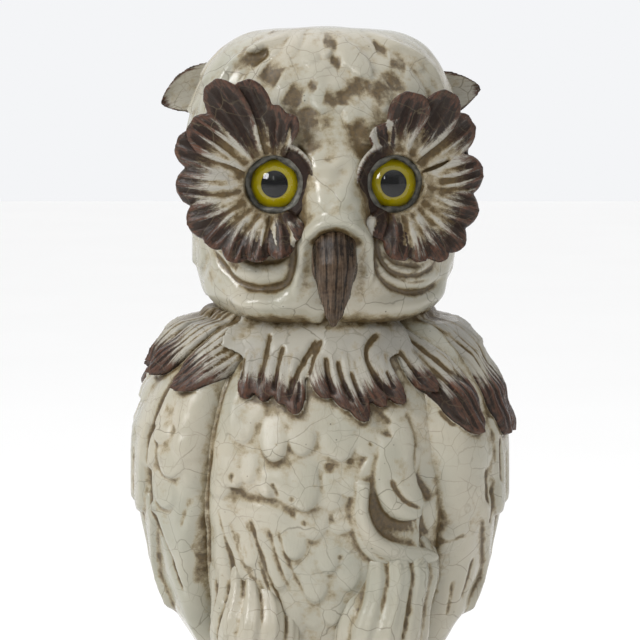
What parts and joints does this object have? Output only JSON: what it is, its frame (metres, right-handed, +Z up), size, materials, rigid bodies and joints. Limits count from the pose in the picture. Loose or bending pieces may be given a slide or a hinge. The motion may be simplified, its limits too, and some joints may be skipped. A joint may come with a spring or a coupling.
{
  "type": "ceramic owl figurine",
  "caption": "Free-standing hollow ceramic owl with modelled feathers, brown-tipped crackle glaze and yellow glass eyes, perched on a tree-stump base.",
  "frame": {"origin": "middle of the stump's flat underside", "axes": "+Z up along the bird, -Y the way it faces, +X the bird's left"},
  "size_m": [0.1883, 0.147, 0.43],
  "materials": {
    "body_glaze": "glossy crackle glaze, olive-brown stain in the hollows, purple-brown brushed feather tips",
    "beak_glaze": "glossy purple-brown glaze rubbed pale on the ridges",
    "foot_glaze": "glossy glaze with brown talons",
    "stump_glaze": "glossy olive-brown glaze, pale on the ridges",
    "eye_putty": "matt grey putty",
    "eye_glass": "clear polished glass",
    "iris_enamel": "yellow enamel behind glass",
    "pupil_enamel": "black enamel behind glass"
  },
  "bodies": {
    "root": {"torso_shell": "body_glaze", "head_shell": "body_glaze", "bib_feathers": "body_glaze", "tail": "body_glaze", "left_wing": "body_glaze", "right_wing": "body_glaze", "left_mantle_feathers": "body_glaze", "right_mantle_feathers": "body_glaze", "left_face_disc": "body_glaze", "right_face_disc": "body_glaze", "left_ear_tuft": "body_glaze", "right_ear_tuft": "body_glaze", "left_leg": "body_glaze", "right_leg": "body_glaze", "beak": "beak_glaze", "left_foot": "foot_glaze", "right_foot": "foot_glaze", "stump_base": "stump_glaze", "left_eye_putty": "eye_putty", "right_eye_putty": "eye_putty", "left_eye_glass": "eye_glass", "right_eye_glass": "eye_glass", "left_eye_iris": "iris_enamel", "right_eye_iris": "iris_enamel", "left_eye_pupil": "pupil_enamel", "right_eye_pupil": "pupil_enamel"}
  },
  "joints": []
}
